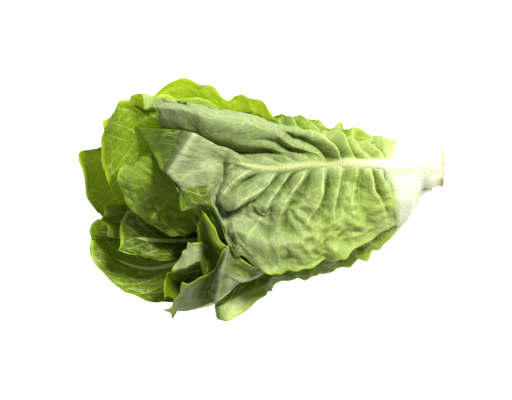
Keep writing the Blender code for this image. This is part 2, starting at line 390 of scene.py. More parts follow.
def cells_of(x, y, size, seed):
    """Worley cells: half of how much further the second nearest scattered point is than the nearest.

    One point is scattered in each square of the given size. The value is 0 on the line between two cells
    and grows towards their middles. The points repeat after a TILE of squares.
    """
    table = np.random.default_rng(seed).uniform(0.1, 0.9, (TILE, TILE, 2))
    gx, gy = x / size, y / size
    cx, cy = np.floor(gx).astype(int), np.floor(gy).astype(int)
    first = np.full(np.shape(gx), np.inf)
    second = first
    for dx in (-1, 0, 1):
        for dy in (-1, 0, 1):
            spot = table[(cx + dx) % TILE, (cy + dy) % TILE]
            away = np.hypot(cx + dx + spot[..., 0] - gx, cy + dy + spot[..., 1] - gy)
            second = np.minimum(second, np.maximum(first, away))
            first = np.minimum(first, away)
    return (second - first) * size / 2.0


# %% Relief of one leaf
TOP_LEAF = 0
BLISTERED_LEAF = 8
BLISTER_SIZE = 0.0125
BLISTER_DEPTH = 0.0024
CRUMPLE_SIZE = 0.0085
CRUMPLE_DEPTH = 0.0005
TOP_CRUMPLE_DEPTH = 0.0017
RUFFLE_LENGTH = 0.026
RUFFLE_HEIGHT = 0.0024
SWELL_HEIGHT = 0.0016
WARP = 0.0042
RIM_WIDTH = 0.016
VEINS = 17.0
VEIN_REACH = 0.131
FAN = 11.0
FAN_MIDDLE = 0.095


def vein_phase(leaf, x, w):
    """Counts lateral veins: a vein runs where it is a whole number.

    Veins fan out: beyond the fan's middle they drift towards the tip and before it towards the base, in
    proportion to how far out they are. The fan's middle is nearer the base where v is negative. Veins are
    further apart further along, and closer again at the tip. The two sides are half a vein apart, as real
    veins alternate.
    """
    out = np.abs(w)
    middle = np.where(w < 0.0, 0.02, FAN_MIDDLE)
    start = (x + FAN * middle * out) / (1.0 + FAN * out) + 0.0028 * waves(x, w, 0.045, leaf.number + 50)
    start = np.maximum(start, -0.8 * VEIN_REACH)
    crowded = 200.0 * np.maximum(start - 0.15, 0.0) ** 2
    return VEINS * np.log1p(start / VEIN_REACH) + crowded + np.where(w > 0.0, 0.5, 0.0)


def relief(leaf, s, v, x, w, edge):
    """Height of the blade over the smooth leaf, and the vein net's distance field.

    Pleats rise to a crest at each lateral vein and are deepest a little way from the midrib. Blisters
    dent the outer face between the small veins. Ruffles are waves that grow towards the margin. The leaf on
    top is calmer where its tip is folded over, and on its rolled side from the middle on, and it is crumpled
    on the other side from its base to its middle. The blistered
    leaf has blisters all over, and loses them just before its tip.
    """
    number = leaf.number
    young = leaf.layer**0.5
    topmost = 1.0 if number == TOP_LEAF else 0.0
    out = np.abs(w)
    phase = vein_phase(leaf, x, w)
    turn = phase - np.floor(phase)
    crest = 0.5 - np.abs(np.interp(turn, (0.0, 0.64, 1.0), (0.0, 1.0, 0.0))) ** 1.5
    fade = smoothstep(s, 0.60 + 0.10 * topmost, 0.90)
    along = smoothstep(s, 0.14, 0.32) * (1.0 - (0.85 + 0.08 * topmost) * fade)
    pleat = smoothstep(out, 0.002, 0.012) * (0.25 + 0.75 * (1.0 - smoothstep(out, 0.028, 0.058)))
    uneven = 0.85 + 0.55 * waves(x, w, 0.040, number + 10)
    folded = smoothstep(s, 0.78, 0.87) * (1.0 - smoothstep(v, 0.42, 0.62))
    folded = np.maximum(folded, smoothstep(s, 0.84, 0.90))
    rolled = smoothstep(s, 0.50, 0.62) * (1.0 - smoothstep(v, -0.28, -0.15))
    calm = (1.0 - 0.75 * topmost * folded) * (1.0 - 0.70 * topmost * rolled)
    warped_x, warped_w = x + WARP * waves(x, w, 0.03, 3), w + WARP * waves(x, w, 0.03, 4)
    net = cells_of(warped_x, warped_w, BLISTER_SIZE, number)
    blister = smoothstep(net, 0.0, 0.0045) * smoothstep(out, 0.006, 0.025) * smoothstep(s, 0.12, 0.35)
    patchy = 0.5 + 0.4 * topmost + 0.6 * waves(x, w, 0.050, number + 20)
    if number == BLISTERED_LEAF:
        patchy = 1.3 - 1.2 * smoothstep(s, 0.88, 0.95)
    crumple = smoothstep(cells_of(x, w, CRUMPLE_SIZE, number + 7), 0.0, 0.4 * CRUMPLE_SIZE) - 0.5
    rim = 1.0 - smoothstep(edge, 0.0, RIM_WIDTH)
    ruffle = rim * smoothstep(s, 0.12, 0.5) * waves(x, w, RUFFLE_LENGTH, number + 30)
    height = leaf.pleats * young * along * pleat * uneven * crest * (1.0 - 0.8 * rim)
    dents = BLISTER_DEPTH * blister * np.clip(patchy, 0.0, 1.2) * (1.0 - 0.8 * rim)
    height = height - leaf.dent * young * dents
    swell = waves(x, w, RUFFLE_LENGTH, number + 40) * along
    height = height + young * (RUFFLE_HEIGHT * ruffle + SWELL_HEIGHT * swell)
    unblistered = smoothstep(s, 0.3, 0.6) * np.clip(1.2 - patchy, 0.0, 1.0)
    height = height - CRUMPLE_DEPTH * leaf.dent * crumple * unblistered
    crumpled = smoothstep(s, 0.16, 0.26) * (1.0 - smoothstep(s, 0.45, 0.62)) * smoothstep(w, 0.010, 0.024)
    height = height - TOP_CRUMPLE_DEPTH * topmost * crumple * crumpled * (1.0 - rim)
    return height * calm, net


# %% [markdown]
# ## Folds
#
# The leaves that show don't just lie on the head: their tips roll, fold over and curl. Each has a cage, a
# coarse grid of points: how far from the butt, how far to +Y and how high over the table, in mm. The first
# tuple says where across the leaf its columns are, and each row starts with its place along the leaf. A
# smooth surface through the cage takes over from the laid leaf. A lattice modifier could bend a leaf too,
# but a cage says plainly where each part of the leaf ends up. Rows and columns stand close only where the
# leaf folds: the leaf on top has a roll, a valley and a folded tip, so it needs the most.
#
# CREASED gives the places along a leaf between which the surface changes from a smooth curve to straight
# lines from point to point, so that folds get sharp ridges there.

# %% Cages
QUARTERS = (-1, -0.5, 0, 0.5, 1)
CAGES = {
    0: ((-1, -0.84, -0.66, -0.48, -0.3, -0.14, 0, 0.22, 0.42, 0.56, 0.78, 1), (
        (0.00, (3, 41, 51), (3, 40, 53), (3, 39, 54), (3, 38, 55), (4, 36, 57), (4, 34, 58), (4, 33, 59),
         (4, 30, 60), (4, 28, 60), (4, 24, 60), (4, 18, 57), (3, 11, 47)),
        (0.08, (20, 43, 51), (20, 40, 57), (20, 37, 60), (20, 35, 62), (20, 33, 64), (20, 31, 65),
         (20, 28, 66), (20, 25, 66), (20, 22, 66), (20, 18, 65), (19, 12, 60), (18, 3, 46)),
        (0.12, (27, 44, 52), (27, 42, 59), (28, 37, 62), (28, 36, 65), (28, 33, 67), (28, 30, 69),
         (27, 27, 70), (27, 23, 71), (27, 17, 71), (26, 10, 70), (26, -2, 62), (26, -12, 46)),
        (0.15, (35, 46, 54), (36, 43, 61), (36, 39, 64), (35, 37, 67), (35, 33, 70), (35, 30, 73),
         (34, 26, 75), (34, 23, 75), (35, 18, 75), (35, 11, 75), (35, -4, 71), (35, -20, 50)),
        (0.18, (42, 41, 66), (42, 43, 66), (42, 41, 68), (43, 37, 71), (43, 32, 74), (43, 28, 77),
         (43, 25, 78), (43, 19, 78), (42, 11, 77), (42, 4, 75), (40, -11, 70), (38, -24, 50)),
        (0.22, (50, 42, 70), (51, 45, 69), (51, 41, 73), (50, 36, 75), (49, 32, 77), (49, 28, 79),
         (49, 25, 80), (49, 16, 80), (48, 9, 80), (47, 1, 78), (46, -13, 73), (44, -26, 58)),
        (0.34, (78, 43, 76), (80, 46, 74), (78, 44, 78), (77, 39, 82), (75, 33, 84), (75, 30, 86),
         (73, 27, 88), (74, 14, 89), (75, -1, 90), (75, -10, 92), (76, -27, 91), (76, -44, 84)),
        (0.46, (107, 48, 86), (112, 53, 86), (106, 49, 92), (103, 41, 92), (101, 35, 92), (100, 30, 93),
         (98, 26, 96), (101, 10, 98), (102, -7, 99), (102, -18, 100), (102, -37, 99), (98, -52, 93)),
        (0.56, (134, 54, 90), (138, 59, 92), (132, 54, 99), (128, 46, 95), (124, 36, 88), (121, 29, 99),
         (119, 24, 103), (124, 7, 103), (127, -7, 106), (127, -18, 104), (124, -41, 103),
         (120, -61, 95)),
        (0.66, (154, 60, 95), (162, 67, 97), (156, 58, 107), (150, 44, 100), (144, 35, 87),
         (141, 28, 102), (139, 22, 107), (144, 6, 107), (149, -7, 110), (149, -15, 104), (146, -38, 106),
         (141, -60, 97)),
        (0.74, (175, 64, 101), (183, 70, 103), (177, 61, 116), (173, 45, 107), (165, 36, 87),
         (160, 28, 107), (157, 24, 114), (162, 9, 113), (166, -5, 117), (168, -14, 107), (165, -33, 111),
         (158, -55, 101)),
        (0.81, (195, 65, 105), (202, 73, 107), (196, 64, 121), (194, 49, 111), (184, 39, 86),
         (170, 33, 116), (173, 28, 119), (176, 13, 116), (181, -3, 119), (181, -12, 108), (178, -26, 110),
         (171, -46, 102)),
        (0.84, (203, 68, 105), (210, 73, 106), (205, 67, 119), (202, 52, 110), (194, 42, 89),
         (178, 38, 115), (180, 28, 112), (180, 17, 111), (186, 3, 113), (184, -8, 109), (180, -21, 111),
         (174, -40, 104)),
        (0.87, (211, 71, 106), (217, 75, 106), (212, 70, 118), (211, 55, 110), (204, 43, 92),
         (185, 41, 120), (189, 30, 115), (186, 21, 122), (191, 10, 121), (189, -2, 114), (183, -15, 112),
         (176, -34, 106)),
        (0.90, (218, 73, 106), (222, 75, 106), (219, 70, 117), (217, 59, 110), (210, 45, 94),
         (194, 46, 124), (199, 32, 123), (204, 21, 121), (201, 8, 120), (195, -2, 114), (187, -11, 110),
         (178, -29, 107)),
        (0.93, (224, 72, 105), (227, 75, 106), (225, 71, 115), (222, 62, 110), (217, 47, 96),
         (202, 50, 135), (212, 35, 134), (223, 18, 130), (212, 6, 122), (203, -5, 114), (190, -7, 108),
         (178, -23, 108)),
        (0.96, (229, 73, 105), (232, 74, 106), (230, 71, 114), (228, 63, 109), (223, 50, 93),
         (215, 53, 113), (221, 38, 112), (227, 23, 113), (212, 5, 121), (209, -7, 113), (194, -7, 108),
         (181, -18, 109)),
        (1.00, (232, 71, 105), (236, 73, 106), (235, 71, 112), (233, 65, 108), (228, 53, 90),
         (251, 56, 84), (239, 37, 86), (224, 17, 122), (213, 4, 119), (213, -11, 112), (198, -7, 106),
         (184, -12, 110)),
    )),
    1: (QUARTERS, (
        (0.17, (43, -14, 36), (45, -14, 30), (48, -12, 26), (48, 1, 20), (46, 13, 18)),
        (0.28, (64, -43, 46), (67, -42, 40), (69, -40, 28), (70, -12, 12), (69, 16, 10)),
        (0.42, (97, -56, 50), (101, -62, 40), (103, -59, 26), (103, -22, 7), (100, 16, 6)),
        (0.58, (133, -52, 84), (136, -59, 70), (136, -53, 64), (134, -27, 6), (130, 6, 5)),
        (0.68, (155, -52, 98), (165, -68, 86), (162, -64, 72), (160, -36, 7), (155, -7, 5)),
        (0.77, (176, -38, 106), (181, -62, 94), (186, -85, 78), (179, -59, 20), (169, -12, 6)),
        (0.86, (189, -59, 82), (195, -74, 56), (197, -90, 40), (193, -69, 10), (182, -26, 6)),
        (0.94, (202, -67, 84), (208, -82, 58), (211, -93, 34), (207, -76, 12), (195, -42, 8)),
        (1.00, (213, -69, 84), (221, -86, 58), (229, -93, 38), (223, -101, 22), (205, -59, 10)),
    )),
    2: (QUARTERS, (
        (0.30, (82, -10, 9), (83, 21, 14), (83, 45, 33), (82, 47, 50), (77, 46, 62)),
        (0.45, (116, -13, 6), (119, 26, 8), (119, 57, 34), (118, 54, 52), (116, 56, 64)),
        (0.60, (148, -8, 6), (155, 32, 9), (150, 62, 38), (144, 60, 56), (141, 67, 68)),
        (0.68, (165, -2, 9), (171, 36, 11), (162, 64, 40), (157, 69, 58), (155, 81, 72)),
        (0.74, (174, 1, 9), (182, 39, 11), (170, 65, 40), (167, 70, 58), (166, 83, 73)),
        (0.79, (182, 6, 9), (194, 42, 13), (178, 67, 40), (177, 69, 57), (176, 77, 66)),
        (0.84, (192, 14, 9), (204, 47, 15), (193, 70, 42), (191, 76, 59), (191, 90, 74)),
        (0.90, (202, 23, 9), (215, 52, 18), (208, 73, 44), (207, 81, 61), (209, 95, 75)),
        (0.95, (209, 29, 11), (223, 57, 24), (220, 73, 46), (222, 79, 60), (225, 92, 72)),
        (1.00, (217, 39, 13), (229, 64, 32), (231, 71, 48), (235, 74, 60), (240, 81, 68)),
    )),
    3: (QUARTERS, (
        (0.10, (28, 32, 62), (29, 18, 66), (28, 6, 64), (28, -7, 56), (29, -19, 44)),
        (0.20, (55, 32, 68), (55, 12, 72), (55, -8, 68), (53, -24, 57), (49, -39, 42)),
        (0.30, (74, 37, 70), (74, 8, 78), (74, -15, 74), (74, -35, 64), (68, -53, 46)),
        (0.45, (103, 33, 72), (105, 7, 86), (105, -25, 84), (103, -47, 70), (101, -61, 54)),
        (0.58, (130, 25, 76), (133, 6, 90), (133, -26, 94), (131, -53, 74), (128, -68, 56)),
        (0.75, (167, 9, 88), (163, -2, 98), (159, -20, 99), (154, -36, 90), (149, -53, 70)),
        (0.88, (184, 7, 96), (182, -6, 102), (175, -20, 102), (170, -33, 97), (164, -43, 84)),
        (1.00, (196, -0, 98), (194, -8, 102), (188, -19, 103), (182, -30, 101), (177, -39, 97)),
    )),
    4: (QUARTERS, (
        (0.60, (175, -68, 30), (184, -32, 12), (184, 7, 14), (184, 43, 21), (176, 75, 50)),
        (0.80, (242, -48, 18), (250, -21, 16), (254, 9, 20), (251, 32, 30), (242, 51, 44)),
        (0.90, (268, -29, 24), (276, -9, 26), (281, 14, 30), (279, 30, 38), (267, 42, 46)),
        (1.00, (284, -12, 38), (293, 1, 44), (296, 20, 50), (298, 37, 52), (281, 42, 50)),
    )),
    5: (QUARTERS, (
        (0.22, (57, 51, 58), (59, 46, 64), (61, 37, 68), (61, 22, 71), (60, 4, 70)),
        (0.30, (76, 55, 64), (77, 49, 69), (79, 36, 74), (81, 14, 79), (79, -6, 78)),
        (0.38, (92, 58, 68), (95, 49, 73), (98, 36, 80), (98, 12, 87), (96, -12, 85)),
        (0.45, (112, 66, 72), (113, 56, 78), (115, 39, 76), (114, 10, 78), (111, -17, 78)),
        (0.60, (134, 63, 72), (141, 56, 80), (144, 45, 74), (146, 13, 76), (139, -17, 78)),
    )),
    6: ((-1, -0.4, 0, 0.4, 1), (
        (0.35, (96, -23, 84), (96, -40, 82), (95, -48, 62), (95, -57, 40), (94, -54, 20)),
        (0.60, (170, -35, 78), (171, -49, 80), (172, -56, 56), (172, -68, 36), (170, -60, 18)),
        (0.75, (188, -40, 74), (189, -53, 70), (189, -61, 50), (189, -72, 32), (187, -70, 16)),
        (0.84, (203, -37, 92), (202, -52, 86), (203, -59, 60), (200, -72, 34), (197, -75, 16)),
        (0.92, (210, -42, 90), (210, -57, 88), (211, -62, 62), (208, -73, 34), (204, -81, 14)),
        (1.00, (213, -44, 86), (221, -59, 84), (223, -62, 72), (221, -73, 40), (212, -84, 16)),
    )),
    7: (QUARTERS, (
        (0.42, (130, -2, 20), (132, 22, 28), (134, 39, 42), (134, 51, 58), (133, 59, 70)),
        (0.60, (175, -2, 22), (180, 31, 36), (182, 47, 50), (183, 58, 74), (183, 65, 85)),
        (0.78, (223, 6, 40), (225, 32, 62), (227, 51, 76), (227, 62, 84), (231, 73, 84)),
        (0.87, (244, 8, 52), (248, 30, 68), (251, 48, 80), (251, 64, 84), (254, 77, 80)),
        (0.94, (260, 4, 62), (264, 24, 72), (268, 40, 79), (267, 62, 80), (264, 75, 78)),
        (1.00, (270, 1, 64), (276, 19, 70), (280, 36, 73), (277, 53, 74), (272, 67, 72)),
    )),
    8: (QUARTERS, (
        (0.42, (126, 38, 68), (128, 18, 82), (130, -2, 84), (128, -20, 70), (126, -35, 52)),
        (0.60, (165, 38, 80), (170, 18, 93), (171, -2, 94), (170, -20, 80), (167, -35, 60)),
        (0.75, (195, 46, 82), (199, 26, 95), (202, 6, 95), (201, -13, 82), (199, -28, 62)),
        (0.85, (219, 42, 82), (224, 26, 92), (228, 8, 94), (226, -10, 86), (218, -32, 72)),
        (0.93, (241, 36, 80), (245, 25, 88), (248, 12, 90), (246, -3, 84), (238, -23, 76)),
        (1.00, (262, 25, 78), (264, 22, 82), (266, 14, 84), (263, 3, 82), (256, -9, 78)),
    )),
    9: ((-1, -0.7, -0.35, 0.2, 1), (
        (0.30, (107, -54, 24), (108, -50, 28), (111, -44, 32), (112, -31, 20), (112, -7, 14)),
        (0.40, (132, -68, 50), (132, -64, 52), (133, -58, 54), (130, -36, 20), (130, -7, 14)),
        (0.48, (146, -79, 60), (151, -72, 58), (152, -61, 60), (152, -36, 20), (152, -2, 14)),
        (0.55, (164, -91, 64), (170, -81, 60), (170, -70, 60), (170, -40, 20), (170, -1, 15)),
        (0.60, (182, -99, 64), (185, -89, 60), (185, -80, 58), (184, -40, 20), (182, 2, 16)),
        (0.64, (190, -87, 24), (193, -82, 34), (193, -70, 30), (195, -40, 20), (194, 2, 17)),
        (0.75, (212, -87, 32), (215, -84, 34), (217, -72, 26), (220, -44, 18), (213, -7, 18)),
        (0.85, (235, -85, 40), (238, -82, 36), (241, -72, 27), (245, -50, 20), (240, -21, 18)),
        (0.93, (260, -78, 42), (262, -74, 38), (264, -63, 31), (268, -45, 24), (263, -24, 20)),
        (1.00, (285, -57, 40), (288, -50, 38), (290, -42, 36), (290, -30, 34), (284, -21, 32)),
    )),
    10: ((-1, -0.4, 0.1, 0.5, 0.75, 1), (
        (0.60, (175, 34, 60), (176, 48, 64), (178, 59, 70), (181, 70, 80), (181, 69, 78), (181, 73, 80)),
        (0.80, (215, 45, 70), (218, 56, 76), (221, 65, 82), (226, 79, 94), (224, 73, 90), (216, 80, 92)),
        (1.00, (245, 72, 86), (254, 75, 88), (251, 82, 92), (246, 83, 100), (242, 70, 99), (237, 79, 98)),
    )),
    11: (QUARTERS, (
        (0.50, (142, -43, 70), (144, -53, 62), (145, -61, 48), (145, -65, 34), (145, -69, 24)),
        (0.70, (165, -44, 84), (166, -53, 70), (167, -60, 56), (167, -65, 46), (167, -69, 36)),
        (0.80, (179, -37, 107), (181, -46, 90), (181, -53, 80), (182, -61, 76), (183, -69, 70)),
        (0.90, (188, -24, 107), (191, -35, 86), (191, -44, 77), (191, -54, 77), (190, -66, 74)),
        (1.00, (197, -10, 103), (200, -23, 92), (201, -36, 86), (199, -49, 82), (196, -64, 76)),
    )),
    12: (QUARTERS, (
        (0.65, (182, -49, 26), (188, -45, 26), (192, -35, 26), (192, -21, 26), (185, -2, 26)),
        (0.80, (210, -47, 34), (213, -44, 40), (215, -36, 38), (216, -25, 38), (213, -12, 38)),
        (0.88, (230, -51, 56), (234, -48, 60), (237, -35, 58), (239, -22, 58), (237, -11, 58)),
        (0.95, (250, -49, 60), (252, -45, 61), (254, -33, 60), (255, -21, 62), (253, -12, 60)),
        (1.00, (265, -45, 60), (265, -41, 61), (266, -33, 60), (264, -25, 60), (261, -15, 58)),
    )),
    13: (QUARTERS, (
        (0.82, (258, -37, 22), (258, -34, 24), (258, -30, 24), (258, -26, 24), (258, -21, 22)),
        (0.92, (277, -35, 32), (278, -33, 36), (278, -29, 37), (278, -24, 37), (276, -20, 36)),
        (1.00, (289, -34, 34), (292, -30, 37), (292, -26, 38), (289, -22, 38), (284, -19, 37)),
    )),
    14: (QUARTERS, (
        (0.60, (167, -83, 24), (167, -79, 24), (167, -73, 22), (167, -62, 20), (167, -48, 18)),
        (0.75, (193, -86, 38), (195, -81, 36), (195, -73, 34), (196, -63, 30), (196, -50, 26)),
        (0.88, (218, -85, 48), (219, -80, 44), (220, -73, 40), (220, -67, 40), (218, -63, 42)),
        (1.00, (228, -83, 62), (228, -75, 70), (227, -67, 74), (226, -61, 78), (221, -59, 82)),
    )),
    15: (QUARTERS, (
        (0.80, (241, -2, 30), (241, -12, 32), (241, -21, 34), (241, -29, 32), (241, -35, 28)),
        (0.92, (264, -5, 44), (265, -13, 48), (267, -20, 42), (267, -27, 46), (265, -35, 44)),
        (1.00, (278, -8, 48), (281, -13, 54), (282, -19, 46), (276, -24, 52), (276, -34, 46)),
    )),
    17: (QUARTERS, (
        (0.80, (248, 45, 62), (248, 50, 63), (248, 55, 64), (248, 60, 64), (248, 65, 62)),
        (0.92, (267, 47, 66), (268, 51, 67), (268, 56, 68), (268, 61, 68), (267, 66, 67)),
        (1.00, (276, 48, 66), (278, 52, 67), (279, 57, 68), (277, 62, 68), (273, 64, 67)),
    )),
}
print("leaves with a cage:", sorted(CAGES))
CREASED = {0: (0.78, 0.88), 1: (0.60, 0.70), 6: (0.60, 0.70)}
CREASE = 0.9
TAKE_OVER = 0.2
LATE_START = 0.3


def shaped(leaf, s, v, laid):
    """The laid leaf at its base, then the surface through its cage. Creases start where CREASED says.

    Where a cage starts well along its leaf, the laid leaf before it moves over gradually, by what it is off
    the cage's first row.
    """
    columns, rows = CAGES[leaf.number]
    knots = [row[0] for row in rows]
    cage = np.array([row[1:] for row in rows], float) * MM
    i = np.interp(s, knots, np.arange(len(knots)))
    j = np.interp(v, columns, np.arange(len(columns)))
    crease = CREASE * smoothstep(s, *CREASED[leaf.number]) if leaf.number in CREASED else 0.0
    bent = sample(cage, i, j, crease=crease)
    bent = np.stack([ORIGIN[0] - bent[..., 0], ORIGIN[1] + bent[..., 1], bent[..., 2]], axis=-1)
    if knots[0] >= LATE_START:
        first = int(np.searchsorted(s[:, 0], knots[0]))
        bent[:first] = laid[:first] + (bent[first] - laid[first])
    share = smoothstep(s, knots[0] - TAKE_OVER, knots[0])[..., None]
    return laid + share * (bent - laid)


# %% [markdown]
# ## From a sheet to a closed leaf
#
# A leaf is about half a millimetre thick, with a midrib that is several millimetres thick at its base.
# Solidify could thicken a sheet. Here both faces are built at once, because each face keeps its own look:
# the outer one is paler and duller, the inner one glossier. Every point carries what its finish needs:
# which face it is on, how far along and out it is, and how near it is to veins and margin.
#
# Where a leaf turns over, or its bloom is rubbed off or thick, LOOKS overrides the look on both faces. On the
# two leaves on top some zones are painted light and shade instead: facets paler where they face the lamp,
# darker where they face away or lie in another leaf's shadow, and waxy strips along ridges and a folded
# midrib as painted highlights. Each zone is a stretch along the leaf, a stretch across it, and a look: 0 is
# clean and glossy like an inner face, 1 is dull like an outer one, and 2 is waxy and pale. Zones end softly,
# and later ones lie on top.
# A painted mask could do the same, but it would be an image.

# %% Zones with a look of their own, and zones of painted light and shade
LOOKS = {
    # Leaf 0: the folded tip's facet gets the darker inner look, partly because its inner face is turned up
    # and partly as painted shade where it faces away from the lamp. The bowl beside it is paler as painted
    # light, and a waxy strip along the ridge between them is a painted highlight.
    0: ((0.93, 1.1, -0.35, 0.30, 0.0), (0.86, 1.1, 0.40, 0.80, 0.15), (0.84, 0.93, -0.15, 0.42, 1.15),
        (0.912, 0.948, -0.2, 0.30, 2.0)),
    # Leaf 1: the facet that faces the lamp is pale as painted light, and its upper part is darker as painted
    # shadow of leaf 0. The facet beyond the ridge has less bloom, partly its own greener tone and partly
    # painted shade. Waxy strips along the folded midrib and across the ridge are painted highlights.
    1: ((0.60, 0.765, -0.62, 0.0, 1.45), (0.50, 0.76, -1.1, -0.60, 0.3), (0.785, 0.95, -1.1, 0.3, 0.45),
        (0.95, 1.1, -0.3, 1.1, 0.0), (0.58, 0.78, -0.07, 0.05, 2.0), (0.75, 0.80, -1.1, 0.05, 1.8)),
    6: ((0.70, 1.1, -0.36, 1.1, 0.25), (0.80, 1.1, -1.1, -0.40, 1.3)),
    8: ((0.70, 1.1, 0.78, 1.1, 0.8), (0.92, 1.1, -1.1, 1.1, 0.7)),
    9: ((0.30, 0.62, -1.1, -0.70, 1.35),),
    10: ((0.55, 1.10, 0.46, 1.1, 1.35),),
    11: ((0.60, 1.10, -1.1, -0.70, 1.2),),
}
LOOK_SOFTNESS = 0.03
print("zones with a look of their own:", sum(len(zones) for zones in LOOKS.values()))

# %% Shells with attributes
def unit(vectors):
    """Vectors made one long: each divided by its length."""
    return vectors / np.maximum(np.linalg.norm(vectors, axis=-1, keepdims=True), 1e-12)


def directions(points):
    """Unit directions of a grid of points, along it and across it."""
    return unit(np.gradient(points, axis=0)), unit(np.gradient(points, axis=1))


def normals_of(points):
    """Unit normals of a grid of points: the cross product of its two directions."""
    along, across = directions(points)
    return unit(np.cross(along, across))


def shell_faces(rows, columns):
    """Quads of two grids, the outer one first, and of the strip that joins them all round."""
    index = np.arange(rows * columns).reshape(rows, columns)
    corners = (index[:-1, :-1], index[1:, :-1], index[1:, 1:], index[:-1, 1:])
    outer = np.stack([c.ravel() for c in corners], axis=1)
    inner = outer[:, ::-1] + rows * columns
    ring = np.concatenate([index[0, :-1], index[:-1, -1], index[-1, :0:-1], index[:0:-1, 0]])
    after = np.roll(ring, -1)
    joined = np.stack([ring, after, after + rows * columns, ring + rows * columns], axis=1)
    return np.concatenate([outer, inner, joined])


def make_mesh(name, points, faces, attributes, uv):
    """A smooth mesh from arrays: points, quads, one number a point for each attribute, and a UV map."""
    mesh = bpy.data.meshes.new(name)
    mesh.vertices.add(len(points))
    mesh.vertices.foreach_set("co", points.astype(np.float32).ravel())
    mesh.loops.add(faces.size)
    mesh.loops.foreach_set("vertex_index", faces.astype(np.int32).ravel())
    mesh.polygons.add(len(faces))
    mesh.polygons.foreach_set("loop_start", np.arange(0, faces.size, faces.shape[1], dtype=np.int32))
    mesh.update(calc_edges=True)
    mesh.validate()
    for key, values in attributes.items():
        attribute = mesh.attributes.new(key, "FLOAT", "POINT")
        attribute.data.foreach_set("value", values.astype(np.float32).ravel())
    mesh.uv_layers.new(name="leaf_plane").data.foreach_set("uv", uv[faces.ravel()].astype(np.float32).ravel())
    mesh.shade_smooth()
    piece = bpy.data.objects.new(name, mesh)
    bpy.context.scene.collection.objects.link(piece)
    return piece


# %% Thickness of a leaf
BLADE_THICKNESS = 0.0006
RIB_THICKNESS = 0.0039
RIB_END_THICKNESS = 0.0003
RIB_SPREAD = 0.0060
RIB_END_SPREAD = 0.0010


def thickness(leaf, s, w):
    """An even blade and a bell-shaped midrib, which thins and narrows towards the tip."""
    rib = RIB_END_THICKNESS + RIB_THICKNESS * (1.0 - s) ** 1.6 * (0.15 + 0.85 * leaf.layer)
    rib = rib * (0.35 + 0.65 * smoothstep(s, 0.0, 0.08))
    spread = RIB_END_SPREAD + RIB_SPREAD * (1.0 - s) ** 1.5
    return BLADE_THICKNESS + rib * np.exp(-((w / spread) ** 2))


# %% [markdown]
# ## Finishes
#
# Every finish is a small tree of shader nodes. Writing node trees out is long, so one class stands for a
# number that varies over the surface, and Python's arithmetic on it adds the nodes.

# %% Shader arithmetic
# Places of sockets on the Texture Coordinate, Attribute and Mix nodes, which have several of one name.
OBJECT_COORDINATES = 3
FACTOR = 2
MIX_COLOURS = (6, 7)
MIX_RESULT = 2


class Varying:
    """A socket that carries a number, a colour or a vector. Arithmetic on it adds Math nodes."""

    def __init__(self, finish, socket):
        self.finish = finish
        self.socket = socket

    def math(self, operation, first, second=0.0):
        return self.finish.add("Math", {"operation": operation}, {0: first, 1: second})

    def __add__(self, other):
        return self.math("ADD", self, other)

    def __sub__(self, other):
        return self.math("SUBTRACT", self, other)

    def __mul__(self, other):
        return self.math("MULTIPLY", self, other)

    def __rsub__(self, other):
        return self.math("SUBTRACT", other, self)

    __radd__ = __add__
    __rmul__ = __mul__


class Finish:
    """One material. add makes any node: its type, its settings, and the values or links of its sockets."""

    def __init__(self, name):
        self.material = bpy.data.materials.new(name)
        self.material.use_nodes = True
        self.tree = self.material.node_tree
        self.tree.nodes.clear()

    def add(self, kind, settings=None, sockets=None, out=0):
        node = self.tree.nodes.new("ShaderNode" + kind)
        for key, value in (settings or {}).items():
            setattr(node, key, value)
        for key, value in (sockets or {}).items():
            if isinstance(value, Varying):
                self.tree.links.new(value.socket, node.inputs[key])
            else:
                node.inputs[key].default_value = value
        return Varying(self, node.outputs[out]) if node.outputs else node

    def attribute(self, name):
        """One of the numbers that the mesh carries at its points."""
        return self.add("Attribute", {"attribute_name": name}, out=FACTOR)

    def rise(self, value, low, high, start=0.0, end=1.0):
        """start up to low, end from high on, and a smooth change between them."""
        settings = {"interpolation_type": "SMOOTHSTEP", "clamp": True}
        return self.add("MapRange", settings, {0: value, 1: low, 2: high, 3: start, 4: end})

    def mixed(self, factor, first, second):
        """The first colour where the factor is 0, the second where it is 1."""
        colours = zip(MIX_COLOURS, (first, second))
        sockets = {0: factor} | {k: c if isinstance(c, Varying) else (*c, 1.0) for k, c in colours}
        return self.add("Mix", {"data_type": "RGBA"}, sockets, out=MIX_RESULT)


# %% [markdown]
# ### The leaf finish
#
# A leaf is white at its base, where it grew without light, yellow-green along the midrib and deeper green
# towards its tip and margin. Veins are pale. The outer face has a dull bloom, and the inner face is more
# saturated and glossier. The blade lets light through, so part of the light is passed on with a constant
# yellow-green colour. A painted texture would show seams where the leaf folds, and these node patterns
# follow the leaf's own attributes and its plane instead.
#
# The layers, from the bottom: two greens by place and shade, where shade is partly painted shade, a dusty
# bloom, wax, which in some zones is a painted highlight, painted shade in the dents and valleys of the
# relief, pale veins, a lighter margin, the young yellow-green end, the white base, the midrib and the brown
# line of the cut.

# %% Leaf finish
BLOOM = (0.225, 0.268, 0.138)
# Pale wax, which also serves as a painted highlight on ridges and lit facets.
PALE_WAX_AND_HIGHLIGHT = (0.60, 0.68, 0.40)
VEIN = (0.56, 0.66, 0.24)
MARGIN = (0.36, 0.52, 0.05)
YOUNG = (0.28, 0.36, 0.085)
WHITE = (0.49, 0.52, 0.37)
RIB_BASE = (0.56, 0.58, 0.40)
RIB_TIP = (0.29, 0.32, 0.13)
RIB_INSIDE = (0.70, 0.82, 0.36)
CUT_BROWN = (0.40, 0.20, 0.09)
LIGHT_THROUGH = (0.78, 0.91, 0.22, 1.0)


